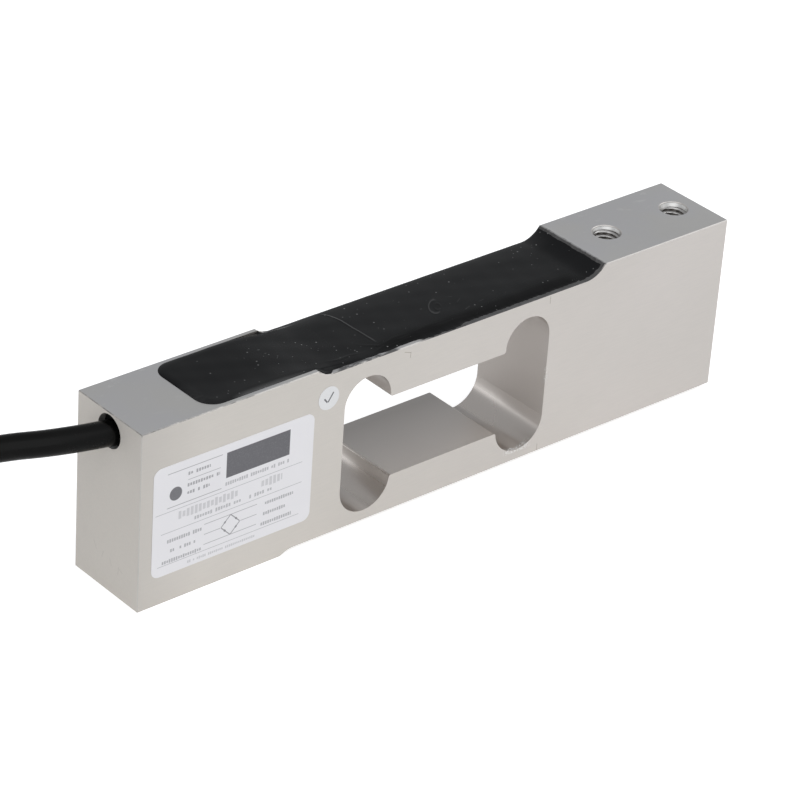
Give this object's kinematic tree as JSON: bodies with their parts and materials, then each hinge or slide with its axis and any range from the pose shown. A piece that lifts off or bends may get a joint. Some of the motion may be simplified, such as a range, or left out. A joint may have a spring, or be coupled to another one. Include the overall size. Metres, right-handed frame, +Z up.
{
  "type": "single point load cell",
  "caption": "Slim aluminium beam with a two-lobed window, black compound over its strain gauges, tapped pads at both ends and a thin black signal cable.",
  "frame": {"origin": "under the middle of the beam, in the plane of the mounting pad on its underside", "axes": "+X along the beam from the cable end to the loading end, +Y across it to the rear, +Z up, along the load"},
  "size_m": [0.2848, 0.0417, 0.04],
  "materials": {
    "beam_aluminium": "milled aluminium with fine tool lines",
    "gauge_film": "clear amber carrier film",
    "gauge_foil": "etched resistance foil",
    "board": "green solder mask",
    "lead_wire": "enamelled copper",
    "copper": "bare copper",
    "resistor": "chip resistor body",
    "solder": "bright solder",
    "cable_jacket": "satin black jacket",
    "shield_braid": "tinned copper braid",
    "compound": "satin black compound",
    "label": "pale printed film",
    "sticker": "pale round sticker",
    "cable_tie": "black nylon",
    "core_green": "green core insulation",
    "core_black": "black core insulation",
    "core_red": "red core insulation",
    "core_white": "white core insulation",
    "core_blue": "blue core insulation",
    "core_brown": "brown core insulation"
  },
  "bodies": {
    "root": {"beam": "beam_aluminium", "gauge_film_cable_end_front": "gauge_film", "gauge_foil_cable_end_front": "gauge_foil", "gauge_film_cable_end_rear": "gauge_film", "gauge_foil_cable_end_rear": "gauge_foil", "gauge_film_load_end_front": "gauge_film", "gauge_foil_load_end_front": "gauge_foil", "gauge_film_load_end_rear": "gauge_film", "gauge_foil_load_end_rear": "gauge_foil", "wiring_board": "board", "gauge_lead_1": "lead_wire", "gauge_lead_2": "lead_wire", "gauge_lead_3": "lead_wire", "gauge_lead_4": "lead_wire", "gauge_lead_5": "lead_wire", "gauge_lead_6": "lead_wire", "gauge_lead_7": "lead_wire", "gauge_lead_8": "lead_wire", "board_copper": "copper", "zero_balance_resistor": "resistor", "zero_drift_resistor": "resistor", "span_trim_resistor": "resistor", "span_drift_resistor": "resistor", "cable_jacket_in_bore": "cable_jacket", "cable_shield_braid": "shield_braid", "inner_core_green": "core_green", "inner_core_black": "core_black", "inner_core_red": "core_red", "inner_core_white": "core_white", "inner_core_blue": "core_blue", "inner_core_brown": "core_brown", "solder_at_cores": "solder", "solder_at_board_leads": "solder", "solder_at_cable_end_gauges": "solder", "solder_at_load_end_gauges": "solder", "cable_bore_seal": "compound", "wiring_compound": "compound", "gauge_compound": "compound", "rating_label": "label", "round_sticker": "sticker", "signal_cable": "cable_jacket", "signal_cable_hank": "cable_jacket", "cable_tie": "cable_tie", "tail_core_green": "core_green", "tail_core_black": "core_black", "tail_core_red": "core_red", "tail_core_white": "core_white", "tail_core_blue": "core_blue", "tail_core_brown": "core_brown", "tail_shield_braid": "shield_braid"}
  },
  "joints": []
}
